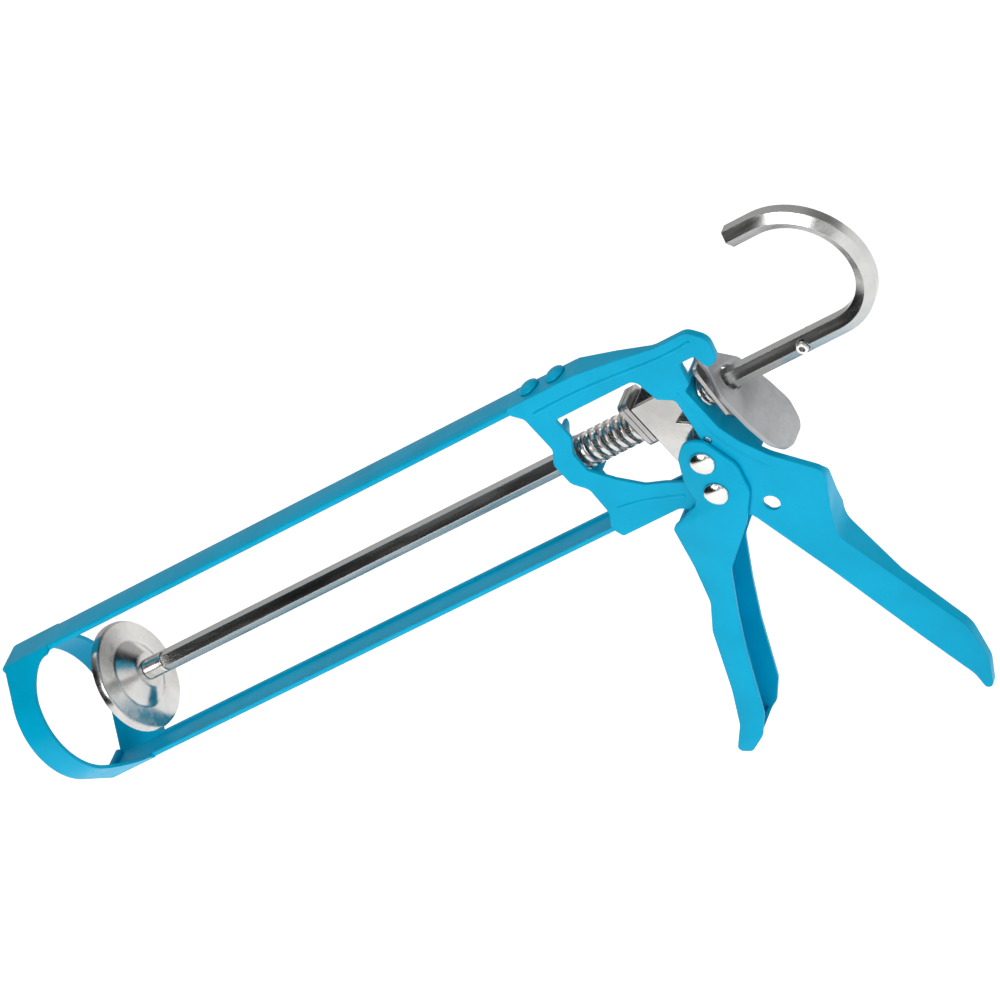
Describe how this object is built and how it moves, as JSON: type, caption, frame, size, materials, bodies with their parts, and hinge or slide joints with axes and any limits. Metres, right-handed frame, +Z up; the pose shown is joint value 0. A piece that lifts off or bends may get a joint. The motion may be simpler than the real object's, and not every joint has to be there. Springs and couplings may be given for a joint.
{
  "type": "caulking gun",
  "caption": "Skeleton caulking gun with a hoop and rail cradle, hooked hex push rod, pressed rear frame with handle, and trigger.",
  "frame": {"origin": "centre of the bounding box in X and Y, at its lowest point in Z", "axes": "+X along the push rod from the nozzle end to the hook, +Z up from the handle to the rod, +Y away from the frame's closed wall"},
  "size_m": [0.4194, 0.0534, 0.2003],
  "materials": {
    "blue_paint": "gloss enamel",
    "bright_steel": "polished",
    "zinc_plate": "satin",
    "spring_steel": "bright"
  },
  "bodies": {
    "frame": {"cradle": "blue_paint", "rear_frame": "blue_paint", "top_rail_rivet_front": "blue_paint", "top_rail_rivet_rear": "blue_paint", "bottom_rail_rivet_front": "blue_paint", "bottom_rail_rivet_rear": "blue_paint", "spring_washer": "zinc_plate", "main_spring": "spring_steel", "trigger_pivot_rivet": "bright_steel", "pivot_spacer": "zinc_plate", "block_stop_pin": "bright_steel", "release_spring": "spring_steel"},
    "trigger": {"trigger": "blue_paint", "drive_rivet": "bright_steel"},
    "drive": {"grip_plate_front": "zinc_plate", "grip_plate_rear": "zinc_plate", "drive_block": "bright_steel"},
    "plunger": {"plunger_disc": "zinc_plate"},
    "rod": {"push_rod": "bright_steel", "rod_stop_pin": "bright_steel", "plunger_collar": "bright_steel", "plunger_washer": "zinc_plate", "plunger_nut": "zinc_plate"},
    "release": {"release_lever": "zinc_plate", "brake_plate": "zinc_plate"}
  },
  "joints": [
    {"name": "trigger_pivot", "type": "hinge", "parent": "frame", "child": "trigger", "pos_m": [0.09948, 0, 0.11652], "axis": [0, -1, 0], "range_deg": [0, 32], "stiffness_Nm_per_rad": 0.3, "springref_deg": -17.19},
    {"name": "drive_slide", "type": "slide", "parent": "frame", "child": "drive", "axis": [-1, 0, 0], "range_m": [0, 0.0076], "deforming": ["main_spring"]},
    {"name": "rod_slide", "type": "slide", "parent": "frame", "child": "plunger", "axis": [1, 0, 0], "range_m": [-0.028, 0.205]},
    {"name": "rod_spin", "type": "hinge", "parent": "plunger", "child": "rod", "pos_m": [-0.14882, 0, 0.14882], "axis": [1, 0, 0], "continuous": true},
    {"name": "release_pivot", "type": "hinge", "parent": "frame", "child": "release", "pos_m": [0.12758, 0, 0.16402], "axis": [0, 1, 0], "range_deg": [0, 3], "stiffness_Nm_per_rad": 0.3, "springref_deg": -5.73, "deforming": ["release_spring"]}
  ],
  "couplings": [
    {"joint": "drive_slide", "follows": "trigger_pivot", "m_per_rad": 0.0135}
  ]
}
